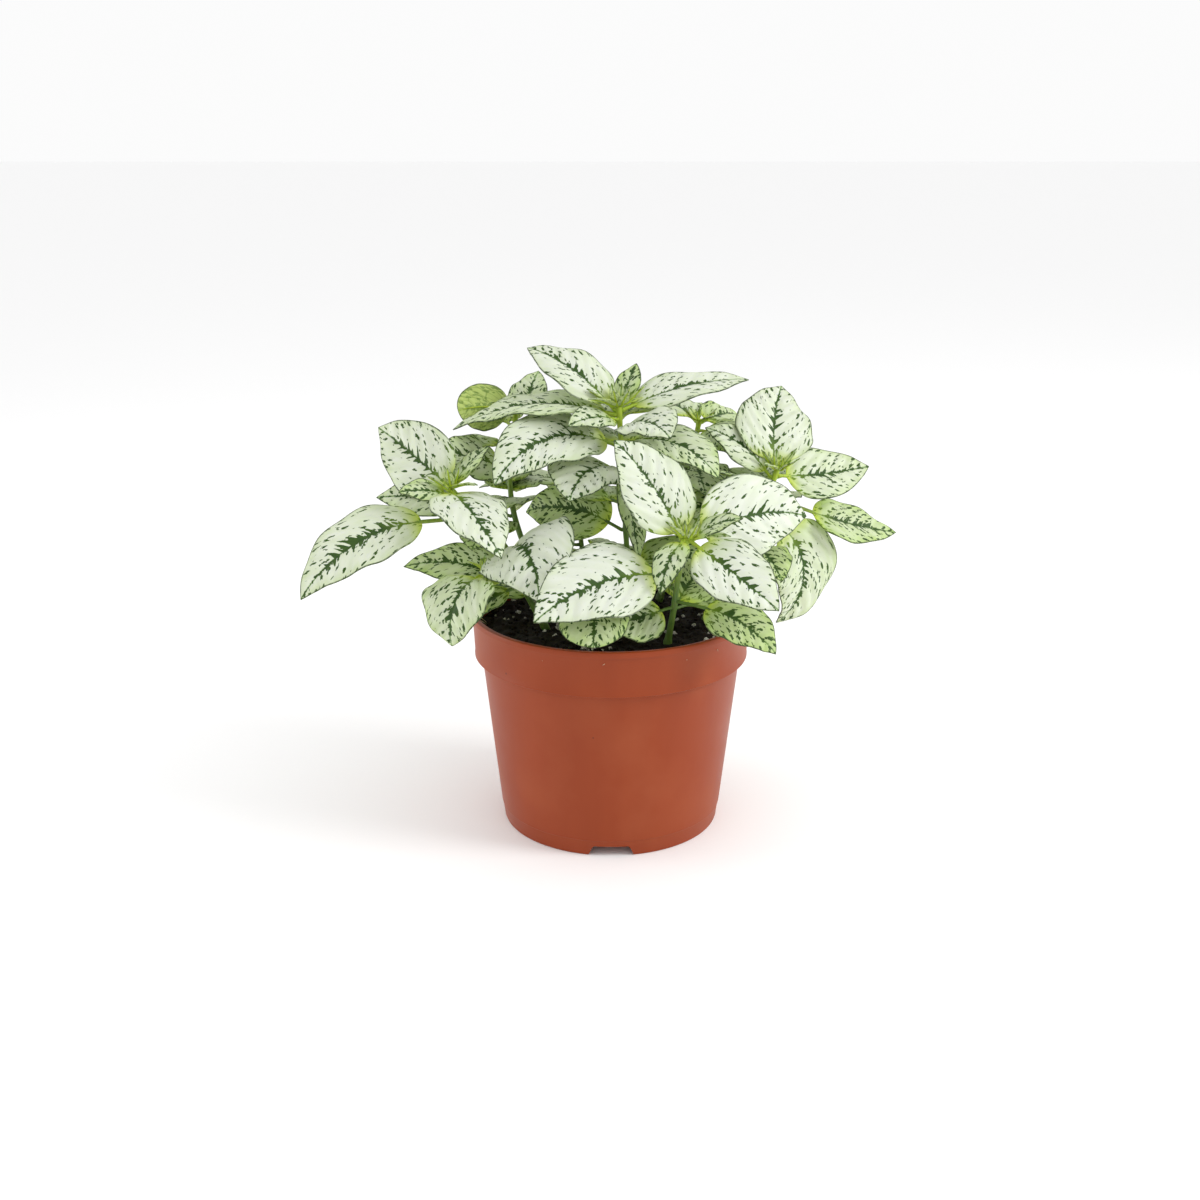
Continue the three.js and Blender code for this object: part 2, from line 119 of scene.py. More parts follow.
LEAVES = {
    "left": {
        "left_far": (0.75, 200, 1, 60, 30, 29, 54, 18, 22, 0.15, 1.1),
        "left_upper": (0.98, 149, 35, 44, 31, 66, 18, -15, 2, 0.15, 1.0),
        "left_behind": (0.85, 164, 11, 36, 18, 50, 22, 0, 3, 0.3, 0.4),
        "left_young_low": (0.97, 205, 20, 20, 14, 30, 25, 5, 2, 0.55, 0.3),
        "left_young_high": (0.99, 35, 50, 21, 14, 0, 25, 0, 2, 0.55, 0.3),
        "left_front": (0.97, 294, -3, 42, 32, 0, 50, 25, 2, 0.1, 1.0),
        "left_under": (0.66, 260, 10, 25, 18, 0, 30, 0, 4, 0.6, 0.6),
        "left_inner": (0.5, 294, 35, 43, 43, -27, 116, -5, 3, 0.1, 1.0),
    },
    "low_left": {
        "low_outer": (0.6, 172, 26, 44, 23, 31, 44, 0, 4, 0.65),
        "low_front": (0.98, 232, -1, 35, 35, -4, 112, 10, 3, 0.4, 1.3),
        "low_by_soil": (0.6, 197, -18, 24, 14, 20, 15, 0, 2, 0.75),
    },
    "middle": {
        "top_left": (0.97, 157, 48, 46, 27, 19, 44, -15, 4, 0.12, 0.7),
        "top_right": (0.97, 19, 23, 54, 26, -16, 29, 0, 4, 0.15, 0.5),
        "top_young_left": (0.93, 232, 20, 26, 16, 25, 40, -15, 3, 0.3, 0.4),
        "top_young_back": (0.99, 65, 55, 20, 12, 0, 25, 0, 2, 0.6, 0.3),
        "top_front_right": (0.89, 306, 30, 32, 28, -17, 62, -5, 3, 0.15, 0.5),
        "middle_big_left": (0.81, 204, 26, 61, 34, 27, 75, 25, 5, 0.15, 0.9),
        "middle_left_behind": (0.95, 176, 17, 66, 30, 9, 48, 5, 4, 0.4, 0.9),
        "middle_right": (0.82, 328, 20, 48, 30, -11, 64, -15, 3, 0.45),
        "middle_right_low": (0.74, 315, 10, 33, 24, -5, 15, 0, 3, 0.6),
        "middle_front": (0.7, 229, 24, 40, 38, 9, 68, 25, 4, 0.2, 0.9),
        "middle_hanging": (0.68, 280, -30, 40, 17, 40, 20, 0, 4, 0.6, 0.5),
        "middle_shaded": (0.45, 160, 25, 44, 28, 63, 52, -20, 6, 0.85, 0.9),
    },
    "rear_left": {
        "rear_left_round": (0.97, 186, 16, 22, 21, -112, 30, 5, 1, 0.8, 0.6, ROUNDED),
        "rear_left_upright": (0.95, 65, 45, 24, 18, -5, 15, 5, 3, 0.4, 0.6),
        "rear_left_low": (0.7, 215, 20, 32, 24, 45, 0, 5, 3, 0.5),
    },
    "small_front": {
        "soil_round_left": (0.97, 271, 16, 23, 29, -7, 79, -5, 3, 0.75, 0.9, ROUNDED),
    },
    "front": {
        "front_tall": (0.95, 161, 66, 45, 32, 40, 27, 0, 3, 0.1, 0.6),
        "front_wide_right": (0.95, 24, 23, 52, 35, -73, 44, 10, 6, 0.05, 1.0),
        "front_young_right": (0.99, 340, 42, 21, 13, -25, 35, 0, 2, 0.45, 0.3),
        "front_young_low": (0.97, 235, -15, 25, 15, 0, 65, 5, 2, 0.4, 0.4),
        "front_big_low": (0.96, 325, -24, 42, 31, -26, 6, -5, 4, 0.05, 0.9),
        "front_big_left": (0.64, 206, 9, 57, 37, 36, 41, 10, 9, 0.05, 1.0),
        "front_trailing": (0.42, 329, -2, 35, 25, -23, 42, -5, 12, 0.8, 0.9),
        "soil_round_right": (0.36, 210, -5, 24, 25, 35, 0, 5, 4, 0.6, 0.8, ROUNDED),
    },
    "right": {
        "right_top": (0.985, 90, 57, 40, 36, -21, 27, -20, 3, 0.15, 0.9),
        "right_outer": (0.95, 16, -2, 39, 26, -46, -8, 5, 3, 0.3),
        "right_inner": (0.93, 165, 55, 32, 22, 27, 45, 0, 3, 0.25, 0.4),
        "right_far": (0.8, 14, -21, 41, 24, -34, -9, 0, 20, 0.6, 0.9),
        "right_hanging": (0.7, 350, -40, 48, 37, -50, 106, 15, 10, 0.3, 0.9),
        "right_small": (0.83, 210, 35, 25, 14, 0, 25, 0, 3, 0.6, 0.5),
        "right_rear": (0.88, 100, 10, 44, 28, 0, 40, 0, 4, 0.4),
    },
    "rear_right": {
        "rear_right_top": (0.97, 45, 15, 28, 20, -25, 40, 10, 3, 0.7, 0.5),
        "rear_right_front": (0.9, 300, 10, 28, 20, -30, 40, -5, 3, 0.6, 0.6),
        "rear_right_back": (0.97, 120, 25, 30, 24, 0, 50, 0, 4, 0.4),
        "rear_right_low": (0.75, 60, 10, 36, 28, 0, 60, 0, 5, 0.5),
    },
    "rear": {
        "rear_top": (0.97, 75, 20, 26, 22, 0, 60, 0, 3, 0.3),
        "rear_outer": (0.97, 175, 20, 40, 28, 0, 50, 0, 3, 0.4),
        "rear_low": (0.6, 110, 5, 34, 26, 0, 60, 0, 4, 0.5),
    },
}

# Leaves that fill the plant's inside and back; they are too many to be solids of their own.
MORE_LEAVES = {
    "left": {
        "left_rear": (0.55, 112, 12, 38, 27, 0, 45, 0, 5, 0.5),
        "left_rear_inner": (0.72, 70, 15, 34, 24, 0, 45, 0, 4, 0.45),
    },
    "low_left": {
        "low_inner": (0.9, 25, 20, 18, 12, 10, 20, 0, 3, 0.7, 0.4),
    },
    "middle": {
        "middle_inner": (0.3, 300, 10, 30, 24, 0, 40, 0, 5, 0.95, 0.7),
        "middle_low_right": (0.3, 5, 12, 34, 26, -30, 30, 0, 3, 0.85),
        "middle_rear": (0.8, 95, 15, 42, 28, 0, 45, 0, 4, 0.4),
        "middle_rear_high": (0.93, 62, 18, 44, 28, 0, 40, 0, 4, 0.3),
        "middle_rear_high_left": (0.91, 122, 20, 42, 28, 0, 45, 0, 4, 0.3),
        "middle_rear_right": (0.6, 40, 10, 38, 28, 0, 45, 0, 5, 0.6),
        "middle_rear_left": (0.55, 130, 10, 38, 28, 0, 45, 0, 5, 0.6),
        "middle_low_left": (0.32, 200, 8, 34, 26, 0, 35, 0, 5, 0.95),
    },
    "front": {
        "front_rear": (0.36, 68, 18, 38, 28, -20, 15, 0, 4, 0.9, 0.7),
        "front_low_rear": (0.35, 35, 5, 30, 24, 0, 35, 0, 5, 0.9, 0.7),
        "front_low_inner": (0.5, 120, 5, 26, 20, 0, 30, 0, 5, 0.95, 0.7),
    },
    "right": {
        "right_inner_rear": (0.75, 185, 8, 34, 26, 20, 40, 0, 4, 0.7, 0.7),
        "right_low_inner": (0.25, 135, 25, 32, 26, 0, 40, 0, 3, 0.95),
        "right_low_rear": (0.5, 60, 5, 36, 26, 0, 50, 0, 5, 0.6),
        "right_rear_high": (0.7, 75, 15, 40, 29, 0, 50, 0, 5, 0.4),
        "right_low_front": (0.5, 290, 5, 28, 22, 0, 45, 0, 4, 0.8),
    },
    "rear_left": {
        "rear_left_back": (0.9, 120, 20, 34, 26, 0, 45, 0, 4, 0.35),
        "rear_left_back_low": (0.6, 105, 12, 38, 28, 0, 50, 0, 4, 0.45),
        "rear_left_side_low": (0.42, 150, 10, 36, 27, 0, 45, 0, 4, 0.55),
        "rear_left_outer": (0.8, 165, 10, 34, 26, 0, 40, 0, 4, 0.4),
        "rear_left_by_soil": (0.09, 160, 4, 28, 25, 12, 12, 0, 3, 0.95, 0.7),
        "rear_left_inner": (0.55, 90, 10, 34, 26, 0, 50, 0, 5, 0.6),
    },
    "rear_right": {
        "rear_right_toward": (0.66, 275, 5, 36, 27, 0, 30, 0, 3, 0.6),
        "rear_right_outer": (0.6, 10, 0, 36, 27, 0, 40, 0, 6, 0.5),
        "rear_right_back_low": (0.42, 95, 8, 34, 26, 0, 50, 0, 5, 0.5),
        "rear_right_back_left": (0.82, 165, 15, 36, 26, 0, 45, 0, 4, 0.35),
        "rear_right_side": (0.85, 20, 10, 36, 26, 0, 45, 0, 4, 0.4),
        "rear_right_inner": (0.6, 150, 10, 36, 28, 0, 50, 0, 5, 0.6),
    },
    "rear": {
        "rear_middle": (0.9, 100, 15, 34, 26, 0, 70, 0, 4, 0.3, 0.9),
        "rear_back_right": (0.94, 50, 25, 36, 28, 0, 70, 0, 4, 0.25, 0.9),
        "rear_back_left": (0.8, 140, 18, 38, 29, 0, 70, 0, 4, 0.3, 0.9),
        "rear_back_low": (0.35, 80, 8, 30, 24, 0, 60, 0, 5, 0.6),
        "rear_right_side": (0.85, 20, 10, 36, 27, 0, 55, 0, 5, 0.4),
        "rear_low_left": (0.5, 190, 5, 34, 26, 0, 50, 0, 5, 0.5),
        "rear_low_right": (0.45, 45, 5, 32, 24, 0, 55, 0, 6, 0.6),
    },
}

# The bud at the end of a shoot: how many leaflets, and how long the longest is.
TIPS = {
    "left": (10, 15),
    "low_left": (5, 8),
    "middle": (12, 16),
    "rear_left": (6, 9),
    "front": (10, 15),
    "right": (10, 14),
    "rear_right": (6, 10),
    "rear": (6, 10),
}

# ---- Finishes ------------------------------------------------------------------------------------


def linear(hex_colour):
    """An sRGB hex colour as the linear RGBA that a shader socket takes."""
    channels = [int(hex_colour[i : i + 2], 16) / 255 for i in (0, 2, 4)]
    return (*[c / 12.92 if c <= 0.04045 else ((c + 0.055) / 1.055) ** 2.4 for c in channels], 1)


def add(finish, kind, inputs, output=0, **settings):
    """Adds a shader node with its settings, fills its inputs by value, hex colour or link, or the ends
    of a range by a pair, and gives one output."""
    made = finish.node_tree.nodes.new("ShaderNode" + kind)
    for setting, value in settings.items():
        setattr(made, setting, value)
    for socket, value in inputs.items():
        if socket in ("From", "To"):
            for end, number in zip((" Min", " Max"), value):
                made.inputs[socket + end].default_value = number
        elif isinstance(value, bpy.types.NodeSocket):
            finish.node_tree.links.new(value, made.inputs[socket])
        else:
            made.inputs[socket].default_value = linear(value) if isinstance(value, str) else value
    return made.outputs[output]


# The colour inputs of a Mix node, and what makes it mix colours and give its colour output.
MIX_A, MIX_B = 6, 7
BLEND = {"output": 2, "data_type": "RGBA"}


def new_finish(name, colour, settings):
    """A material whose Principled shader has these settings on its own sockets."""
    finish = bpy.data.materials.new(name)
    finish.use_nodes = True
    finish.diffuse_color = linear(colour)
    shader = finish.node_tree.nodes["Principled BSDF"]
    for socket, value in {"Base Color": linear(colour), **settings}.items():
        shader.inputs[socket].default_value = value
    return finish


def dress(finish, colour, roughness=None, *, height, relief, strength):
    """Links the worked-out colour, roughness and height of a finish to its shader."""
    shader = finish.node_tree.nodes["Principled BSDF"]
    bump = add(finish, "Bump", {"Height": height, "Distance": relief, "Strength": strength})
    for socket, source in (("Base Color", colour), ("Roughness", roughness), ("Normal", bump)):
        if source is not None:
            finish.node_tree.links.new(source, shader.inputs[socket])
    return finish


def moulded_polypropylene():
    """Terracotta-coloured polypropylene, injection moulded: an even satin skin with faint flow
    streaks down the wall, paler and duller where dust lies in patches, and a few dark specks."""
    finish = new_finish(
        "moulded_polypropylene", "8E3A17",
        {"IOR": 1.49, "Roughness": 0.42, "Specular IOR Level": 0.26},
    )
    place = add(finish, "TexCoord", {}, "Object")
    along = add(finish, "Mapping", {"Vector": place, "Scale": (1, 1, 0.15)})
    streaks = add(finish, "TexNoise", {"Vector": along, "Scale": 1 / (14 * MM), "Detail": 3.0})
    body = add(finish, "Mix", {0: streaks, MIX_A: "883614", MIX_B: "953F1A"}, **BLEND)
    clouds = add(finish, "TexNoise", {"Vector": place, "Scale": 1 / (35 * MM), "Detail": 4.0})
    dusty = add(finish, "MapRange", {"Value": clouds, "From": (0.48, 0.75), "To": (0, 0.35)})
    dusted = add(finish, "Mix", {0: dusty, MIX_A: body, MIX_B: "A65835"}, **BLEND)
    # Grit from potting: dark specks up to a millimetre wide, centimetres apart.
    grit = add(finish, "TexVoronoi", {"Vector": place, "Scale": 1 / (7 * MM)}, "Distance")
    rare = add(finish, "TexVoronoi", {"Vector": place, "Scale": 1 / (7 * MM)}, "Color")
    share = add(finish, "SeparateColor", {"Color": rare}, "Red")
    chosen = add(finish, "Math", {0: share, 1: 0.86}, operation="GREATER_THAN")
    speck = add(finish, "MapRange", {"Value": grit, "From": (0.045, 0.075), "To": (0.75, 0)})
    marked = add(finish, "Math", {0: speck, 1: chosen}, operation="MULTIPLY")
    colour = add(finish, "Mix", {0: marked, MIX_A: dusted, MIX_B: "4A2418"}, **BLEND)
    # The mould's spark-eroded grain, about 0.4 mm, is drawn at 0.7 mm to show at all.
    grain = add(finish, "TexNoise", {"Vector": place, "Scale": 1 / (0.7 * MM), "Detail": 2.0})
    rough = add(finish, "MapRange", {"Value": clouds, "From": (0.3, 0.7), "To": (0.36, 0.5)})
    return dress(finish, colour, rough, height=grain, relief=0.04 * MM, strength=0.35)


def damp_peat():
    """Potting peat, damp: nearly black, fibrous, with dry brown flecks about a millimetre wide."""
    finish = new_finish(
        "damp_peat", "14110D", {"IOR": 1.4, "Roughness": 0.9, "Specular IOR Level": 0.25},
    )
    place = add(finish, "TexCoord", {}, "Object")
    crumbs = add(finish, "TexNoise", {"Vector": place, "Scale": 1 / (1.6 * MM), "Detail": 5.0})
    dark = add(finish, "MapRange", {"Value": crumbs, "From": (0.35, 0.72)})
    ground = add(finish, "Mix", {0: dark, MIX_A: "090806", MIX_B: "2B2118"}, **BLEND)
    flecks = add(finish, "TexNoise", {"Vector": place, "Scale": 1 / (0.8 * MM), "Detail": 2.0})
    dry = add(finish, "MapRange", {"Value": flecks, "From": (0.68, 0.76), "To": (0, 0.8)})
    colour = add(finish, "Mix", {0: dry, MIX_A: ground, MIX_B: "54432F"}, **BLEND)
    rough = add(finish, "MapRange", {"Value": crumbs, "To": (0.7, 1)})
    return dress(finish, colour, rough, height=crumbs, relief=0.8 * MM, strength=0.8)


def expanded_perlite():
    """Perlite, popped by heat: chalk-white foam glass, pitted, greyer towards the bottom of each pit.
    """
    finish = new_finish("expanded_perlite", "DEDCD2", {"IOR": 1.5, "Roughness": 0.85})
    place = add(finish, "TexCoord", {}, "Object")
    pits = add(finish, "TexVoronoi", {"Vector": place, "Scale": 1 / (0.7 * MM)}, "Distance")
    colour = add(finish, "Mix", {0: pits, MIX_A: "8F8878", MIX_B: "EFEEE6"}, **BLEND)
    rough = add(finish, "MapRange", {"Value": pits, "To": (0.95, 0.75)})
    return dress(finish, colour, rough, height=pits, relief=0.4 * MM, strength=0.6)


def soft_stem():
    """Young stem skin: fresh green, waxy, finely ridged along it; yellow-green where it is newest."""
    finish = new_finish(
        "soft_stem", "6E8B33",
        {"IOR": 1.42, "Roughness": 0.45, "Subsurface Weight": 0.15, "Subsurface Scale": 1.0 * MM},
    )
    place = add(finish, "TexCoord", {}, "Object")
    youth = add(finish, "Attribute", {}, "Fac", attribute_name="youth")
    blotches = add(finish, "TexNoise", {"Vector": place, "Scale": 1 / (5 * MM), "Detail": 3.0})
    old = add(finish, "Mix", {0: blotches, MIX_A: "3F5C20", MIX_B: "728F3C"}, **BLEND)
    fresh = add(finish, "Mix", {0: youth, MIX_A: old, MIX_B: "A8BF3A"}, **BLEND)
    along = add(finish, "Mapping", {"Vector": place, "Scale": (1, 1, 0.08)})
    ridges = add(finish, "TexNoise", {"Vector": along, "Scale": 1 / (0.45 * MM), "Detail": 2.0})
    lines = add(finish, "MapRange", {"Value": ridges, "From": (0.5, 0.7), "To": (0, 0.4)})
    colour = add(finish, "Mix", {0: lines, MIX_A: fresh, MIX_B: "38561B"}, **BLEND)
    rough = add(finish, "MapRange", {"Value": blotches, "To": (0.38, 0.55)})
    return dress(finish, colour, rough, height=ridges, relief=0.12 * MM, strength=0.5)


def dry_root():
    """Fine roots that have dried at the rim: straw-coloured, matt."""
    finish = new_finish("dry_root", "CDB694", {"IOR": 1.4, "Roughness": 0.8})
    place = add(finish, "TexCoord", {}, "Object")
    tone = add(finish, "TexNoise", {"Vector": place, "Scale": 1 / (1.2 * MM), "Detail": 2.0})
    colour = add(finish, "Mix", {0: tone, MIX_A: "9C7F5C", MIX_B: "E6D8BC"}, **BLEND)
    rough = add(finish, "MapRange", {"Value": tone, "To": (0.65, 0.9)})
    return dress(finish, colour, rough, height=tone, relief=0.05 * MM, strength=0.4)


def leaf_places(finish):
    """What a leaf's mesh says of itself, in millimetres: where the side vein starts on the midrib,
    how far out the place lies, and how far from the margin; then the leaf's seed, green and band,
    and the place's share of the length."""
    vein = add(finish, "Attribute", {}, "Vector", attribute_name="vein_mm")
    nature = add(finish, "Attribute", {}, "Vector", attribute_name="nature")
    split = []
    for source in (vein, nature):
        split += [add(finish, "SeparateXYZ", {"Vector": source}, axis) for axis in "XYZ"]
    share = add(finish, "Attribute", {}, "Fac", attribute_name="length_share")
    return vein, *split, share


# Two sizes of fleck, in millimetres: rows apart, step along a row, half width, half length; then the
# odds under which a place stays bare, and how far a fleck may stray from its row.
FLECKS = ((4.6, 1.9, 0.56, 0.8, 0.95, 0.35), (2.9, 2.3, 0.4, 0.5, 1.12, 0.9))
# The whole range, in millimetres, of the noise that pushes the edges of marks about.
RAGGED = 2.8


def leaf_pattern(finish):
    """How far each place of a leaf is marked by dark band or fleck, midrib line and margin line; then
    what the colours under the marks are worked out from."""
    vein, along, across, inset, seed, green, band, share = leaf_places(finish)
    spread = add(finish, "Math", {0: across}, operation="ABSOLUTE")
    shift = add(finish, "CombineXYZ", {"X": seed, "Y": seed})
    still = add(finish, "VectorMath", {0: vein, 1: (1, 1, 0)}, operation="MULTIPLY")
    flat = add(finish, "VectorMath", {0: still, 1: shift}, operation="ADD")
    # Ragged edges: every mark is pushed about, mostly by less than 0.6 mm.
    ragged = add(finish, "TexNoise", {"Vector": flat, "Scale": 0.75, "Detail": 3.0}, "Color")
    centred = add(finish, "VectorMath", {0: ragged, 1: (0.5, 0.5, 0.5)}, operation="SUBTRACT")
    push = add(finish, "VectorMath", {0: centred, "Scale": RAGGED}, operation="SCALE")
    moved = add(finish, "VectorMath", {0: flat, 1: push}, operation="ADD")
    patch = add(finish, "TexNoise", {"Vector": flat, "Scale": 0.11, "Detail": 1.0})
    lean = add(finish, "MapRange", {"Value": green, "To": (-0.12, 0.3)})
    near = add(finish, "MapRange", {"Value": inset, "From": (0, 4.5), "To": (0.3, 0)})
    beside = add(finish, "MapRange", {"Value": spread, "From": (0, 6), "To": (0.16, 0)})
    likely = patch
    for more in (lean, near, beside):
        likely = add(finish, "Math", {0: likely, 1: more}, operation="ADD")

    # Flecks sit in rows along the side veins: one possible place to a cell, and many are bare. The
    # veins turn towards the tip as they near the margin, which narrows their rows by the slant.
    slant = add(finish, "MapRange", {"Value": spread, "From": (0, 16), "To": (1.1, 2.2)})
    flecks = []
    for pitch, step, half_wide, half_long, bare, stray in FLECKS:
        grid = add(finish, "VectorMath", {0: moved, 1: (1 / pitch, 1 / step, 0)}, operation="MULTIPLY")
        cell = {"Vector": grid, "Scale": 1.0, "Randomness": stray}
        centre = add(finish, "TexVoronoi", cell, "Position", voronoi_dimensions="2D")
        lot = add(finish, "TexVoronoi", cell, "Color", voronoi_dimensions="2D")
        off = add(finish, "VectorMath", {0: grid, 1: centre}, operation="SUBTRACT")
        shape = (pitch / half_wide, step / half_long, 0)
        scaled = add(finish, "VectorMath", {0: off, 1: shape}, operation="MULTIPLY")
        parts = {name: add(finish, "SeparateXYZ", {"Vector": scaled}, name) for name in "XY"}
        wide = add(finish, "Math", {0: parts["X"], 1: slant}, operation="DIVIDE")
        long = add(finish, "Math", {0: parts["Y"], 1: slant}, operation="MULTIPLY")
        off = add(finish, "CombineXYZ", {"X": wide, "Y": long})
        away = add(finish, "VectorMath", {0: off}, "Value", operation="LENGTH")
        draw = add(finish, "SeparateColor", {"Color": lot}, "Red")
        odds = add(finish, "Math", {0: draw, 1: likely}, operation="ADD")
        size = add(finish, "MapRange", {"Value": odds, "From": (bare, bare + 0.35), "To": (0, 1.25)})
        inside = add(finish, "Math", {0: size, 1: away}, operation="SUBTRACT")
        fleck = add(finish, "MapRange", {"Value": inside, "From": (-0.1, 0.15)})
        flecks.append(fleck)

    # The band is a narrow jagged stripe along the midrib, with spikes out along the side veins.
    side = add(finish, "Math", {0: across}, operation="SIGN")
    apart = add(finish, "Math", {0: side, 1: 40.0}, operation="MULTIPLY")
    lane = add(finish, "CombineXYZ", {"X": along, "Y": apart, "Z": seed})
    spikes = add(finish, "TexNoise", {"Vector": lane, "Scale": 0.5, "Detail": 1.5})
    reach = add(finish, "MapRange", {"Value": spikes, "From": (0.47, 0.74), "To": (0, 5)})
    swell = add(finish, "TexNoise", {"Vector": lane, "Scale": 0.13, "Detail": 1.0})
    core = add(finish, "MapRange", {"Value": swell, "From": (0.4, 0.68), "To": (0.3, 0.9)})
    half = add(finish, "Math", {0: reach, 1: core}, operation="ADD")
    rise = add(finish, "MapRange", {"Value": share, "From": (0.06, 0.25)},
               interpolation_type="SMOOTHSTEP")
    fall = add(finish, "MapRange", {"Value": share, "From": (0.95, 0.5)},
               interpolation_type="SMOOTHSTEP")
    long = add(finish, "Math", {0: rise, 1: fall}, operation="MULTIPLY")
    shaped = add(finish, "Math", {0: long, 1: band}, operation="MULTIPLY")
    width = add(finish, "Math", {0: half, 1: shaped}, operation="MULTIPLY")
    pushed = add(finish, "SeparateXYZ", {"Vector": push}, "Y")
    frayed = add(finish, "Math", {0: spread, 1: pushed}, operation="ADD")
    inside = add(finish, "Math", {0: width, 1: frayed}, operation="SUBTRACT")
    stripe = add(finish, "MapRange", {"Value": inside, "From": (-0.2, 0.15)})
    marks = stripe
    for fleck in flecks:
        marks = add(finish, "Math", {0: marks, 1: fleck}, operation="MAXIMUM")

    # The midrib shows as a line about 0.6 mm wide; the margin's dark line fades here and there.
    rib = add(finish, "MapRange", {"Value": spread, "From": (0.2, 0.45), "To": (0.8, 0)})
    rim = add(finish, "MapRange", {"Value": inset, "From": (0.3, 0.62), "To": (1, 0)})
    breaks = add(finish, "TexNoise", {"Vector": flat, "Scale": 0.5, "Detail": 2.0})
    whole = add(finish, "MapRange", {"Value": breaks, "From": (0.35, 0.55), "To": (0.55, 1)})
    drawn = add(finish, "MapRange", {"Value": share, "From": (0.04, 0.35), "To": (0.15, 1)})
    margin = rim
    for shown in (whole, drawn):
        margin = add(finish, "Math", {0: margin, 1: shown}, operation="MULTIPLY")
    return marks, rib, margin, flat, inset, green, share, breaks


# What makes leaf flesh scatter light, red and green further than blue.
FLESH = {"Subsurface Weight": 0.2, "Subsurface Scale": 1.2 * MM, "Subsurface Radius": (1.0, 1.0, 0.6)}


def white_leaf():
    """Variegated leaf, upper side: matt white skin over green, broken by dark green marks; its own
    green comes through near the margin, the stalk and in young leaves. It scatters a little light."""
    finish = new_finish(
        "white_leaf", "D3D7CC",
        {"IOR": 1.42, "Roughness": 0.5, "Specular IOR Level": 0.3, **FLESH},
    )
    marks, rib, margin, flat, inset, green, share, breaks = leaf_pattern(finish)
    cloud = add(finish, "TexNoise", {"Vector": flat, "Scale": 0.16, "Detail": 2.0})
    near = add(finish, "MapRange", {"Value": inset, "From": (0, 4), "To": (0.7, 0)})
    foot = add(finish, "MapRange", {"Value": share, "From": (0, 0.3), "To": (0.6, 0)})
    tint = add(finish, "MapRange", {"Value": cloud, "From": (0.35, 0.7), "To": (0, 0.6)})
    summed = near
    for more in (foot, tint):
        summed = add(finish, "Math", {0: summed, 1: more}, operation="ADD")
    drawn = add(finish, "MapRange", {"Value": green, "To": (0.25, 1.2)})
    greening = add(finish, "Math", {0: summed, 1: drawn}, operation="MULTIPLY", use_clamp=True)
    pale = add(finish, "Mix", {0: green, MIX_A: "D5D9CE", MIX_B: "AFC085"}, **BLEND)
    ground = add(finish, "Mix", {0: greening, MIX_A: pale, MIX_B: "A9C074"}, **BLEND)
    base = add(finish, "MapRange", {"Value": share, "From": (0.01, 0.13), "To": (0.9, 0)})
    footed = add(finish, "Mix", {0: base, MIX_A: ground, MIX_B: "BCCD3A"}, **BLEND)
    ink = add(finish, "Mix", {0: breaks, MIX_A: "1D3D1C", MIX_B: "45601F"}, **BLEND)
    fresh = add(finish, "MapRange", {"Value": share, "From": (0.05, 0.28), "To": (0.75, 0)})
    ink = add(finish, "Mix", {0: fresh, MIX_A: ink, MIX_B: "7F9C2C"}, **BLEND)
    ribbed = add(finish, "Mix", {0: rib, MIX_A: footed, MIX_B: "6B8F45"}, **BLEND)
    marked = add(finish, "Mix", {0: marks, MIX_A: ribbed, MIX_B: ink}, **BLEND)
    colour = add(finish, "Mix", {0: margin, MIX_A: marked, MIX_B: "3F4F2E"}, **BLEND)
    skin = add(finish, "TexNoise", {"Vector": flat, "Scale": 1.3, "Detail": 3.0})
    rough = add(finish, "MapRange", {"Value": skin, "To": (0.42, 0.62)})
    return dress(finish, colour, rough, height=skin, relief=0.25 * MM, strength=0.35)


def pale_underside():
    """Variegated leaf, lower side: dull grey-green, netted with darker veins about 3 mm apart, the
    upper side's marks showing through."""
    finish = new_finish(
        "pale_underside", "B9CC8E",
        {"IOR": 1.42, "Roughness": 0.6, "Specular IOR Level": 0.25, **FLESH},
    )
    marks, rib, margin, flat, _, green, _, breaks = leaf_pattern(finish)
    ground = add(finish, "Mix", {0: green, MIX_A: "D5E0B4", MIX_B: "A9BC58"}, **BLEND)
    net = add(finish, "TexVoronoi", {"Vector": flat, "Scale": 0.3}, "Distance",
              feature="DISTANCE_TO_EDGE", voronoi_dimensions="2D")
    strands = add(finish, "MapRange", {"Value": net, "From": (0.02, 0.08), "To": (0.5, 0)})
    netted = add(finish, "Mix", {0: strands, MIX_A: ground, MIX_B: "6E8B36"}, **BLEND)
    through = add(finish, "Math", {0: marks, 1: 0.55}, operation="MULTIPLY")
    marked = add(finish, "Mix", {0: through, MIX_A: netted, MIX_B: "4F7330"}, **BLEND)
    ribbed = add(finish, "Mix", {0: rib, MIX_A: marked, MIX_B: "9FB556"}, **BLEND)
    colour = add(finish, "Mix", {0: margin, MIX_A: ribbed, MIX_B: "4C5B3A"}, **BLEND)
    rough = add(finish, "MapRange", {"Value": breaks, "To": (0.5, 0.7)})
    return dress(finish, colour, rough, height=strands, relief=0.3 * MM, strength=0.5)


def studio_paper():
    """Studio paper: pale, matt, with a faint tooth."""
    finish = new_finish(
        "studio_paper", "FBFBFB", {"IOR": 1.45, "Roughness": 0.9, "Specular IOR Level": 0.1},
    )
    place = add(finish, "TexCoord", {}, "Object")
    tooth = add(finish, "TexNoise", {"Vector": place, "Scale": 1 / (2 * MM), "Detail": 2.0})
    colour = add(finish, "Mix", {0: tooth, MIX_A: "FAFAFA", MIX_B: "FCFCFC"}, **BLEND)
    return dress(finish, colour, height=tooth, relief=0.05 * MM, strength=0.2)


